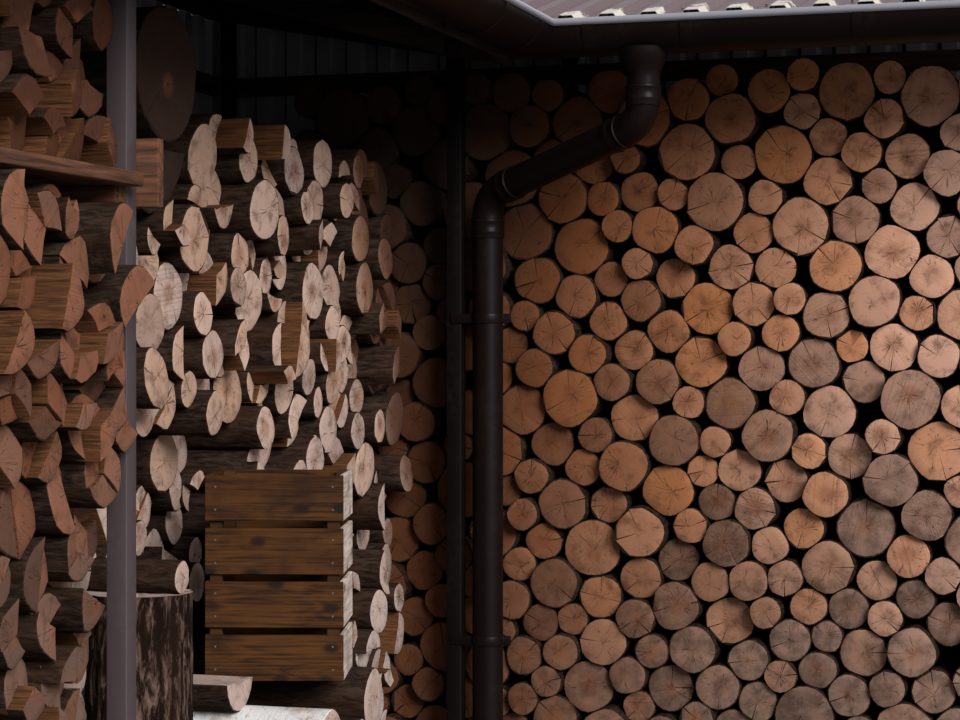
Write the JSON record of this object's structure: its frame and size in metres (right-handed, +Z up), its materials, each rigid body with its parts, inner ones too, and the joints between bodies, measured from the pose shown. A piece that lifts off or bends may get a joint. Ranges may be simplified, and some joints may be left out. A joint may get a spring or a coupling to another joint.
{
  "type": "l-shaped log store",
  "caption": "Open-fronted log store round an inner corner: posts, two lean-to roofs with a valley, half-round gutters with a downpipe, ribbed sheet walls and stacked firewood.",
  "frame": {"origin": "centre of the inner corner post's foot, on the ground", "axes": "+Z up, +X along the right wing's eave away from the corner, +Y in to the right wing's back wall; the left wing runs from the corner along -Y"},
  "size_m": [3.3525, 4.4585, 2.5166],
  "materials": {
    "block_bark": "deeply furrowed bark, sawn top",
    "board_timber": "sawn boards, weathered",
    "crate_wood": "rough softwood boards, amber brown",
    "flashing_steel": "coated folded steel",
    "frame_timber": "sawn softwood, stained, weathered",
    "gutter_brown": "dark brown coated metal, satin",
    "post_steel": "dark brown paint, satin, dusty",
    "roof_steel": "mauve-brown coated steel sheet",
    "round_logs": "sawn end grain with thin dark bark",
    "split_wood": "cleft wood, pale and pinkish",
    "wall_cladding": "ribbed coated steel sheet, mauve-brown"
  },
  "bodies": {
    "root": {"back_bearers": "frame_timber", "back_stack": "round_logs", "big_rounds": "round_logs", "chopping_block": "block_bark", "corner_post": "post_steel", "crate": "crate_wood", "downpipe": "gutter_brown", "gutter_brackets": "gutter_brown", "gutter_corner": "gutter_brown", "gutter_outlet": "gutter_brown", "gutter_unions": "gutter_brown", "left_back_posts": "post_steel", "left_bearers": "frame_timber", "left_end_rails": "board_timber", "left_fascia": "frame_timber", "left_gutter": "gutter_brown", "left_posts": "post_steel", "left_purlins": "frame_timber", "left_rafters": "frame_timber", "left_roof_sheet": "roof_steel", "left_stack": "round_logs", "left_wall_rails": "frame_timber", "left_wall_sheet": "wall_cladding", "loose_wood": "split_wood", "outer_corner_post": "post_steel", "pipe_clamps": "gutter_brown", "rack_stack": "split_wood", "right_back_posts": "post_steel", "right_end_rails": "board_timber", "right_fascia": "frame_timber", "right_gutter": "gutter_brown", "right_post": "post_steel", "right_purlins": "frame_timber", "right_rafters": "frame_timber", "right_roof_sheet": "roof_steel", "right_wall_rails": "frame_timber", "right_wall_sheet": "wall_cladding", "shelf_bearers": "frame_timber", "shelf_boards": "board_timber", "shelf_end_board": "board_timber", "shelf_stack": "split_wood", "stack_stakes": "frame_timber", "swan_neck": "gutter_brown", "valley_flashing": "flashing_steel", "valley_rafter": "frame_timber"}
  },
  "joints": []
}
